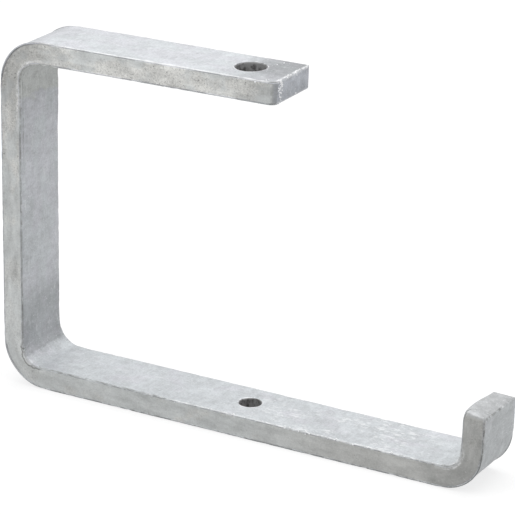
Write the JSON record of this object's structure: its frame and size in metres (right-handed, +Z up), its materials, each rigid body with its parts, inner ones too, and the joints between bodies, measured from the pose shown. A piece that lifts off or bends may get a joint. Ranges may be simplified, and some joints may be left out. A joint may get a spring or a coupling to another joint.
{
  "type": "open-type cable hanger",
  "caption": "Open C-shaped hanger bent from flat steel bar, with an upturned lip, that carries cables or a cable tray below a threaded rod.",
  "frame": {"origin": "underside of the seat, on the axis of the seat hole, halfway between the web and the lip", "axes": "+X from the web towards the lip along the seat, +Y across the bar's width towards its back edge, +Z up, the way the top arm stands above the seat"},
  "size_m": [0.2408, 0.0312, 0.1644],
  "materials": {
    "galvanised_steel": "hot-dip galvanised, satin grey with pale mottling and streaks"
  },
  "bodies": {
    "root": {"hanger_bar": "galvanised_steel"}
  },
  "joints": []
}
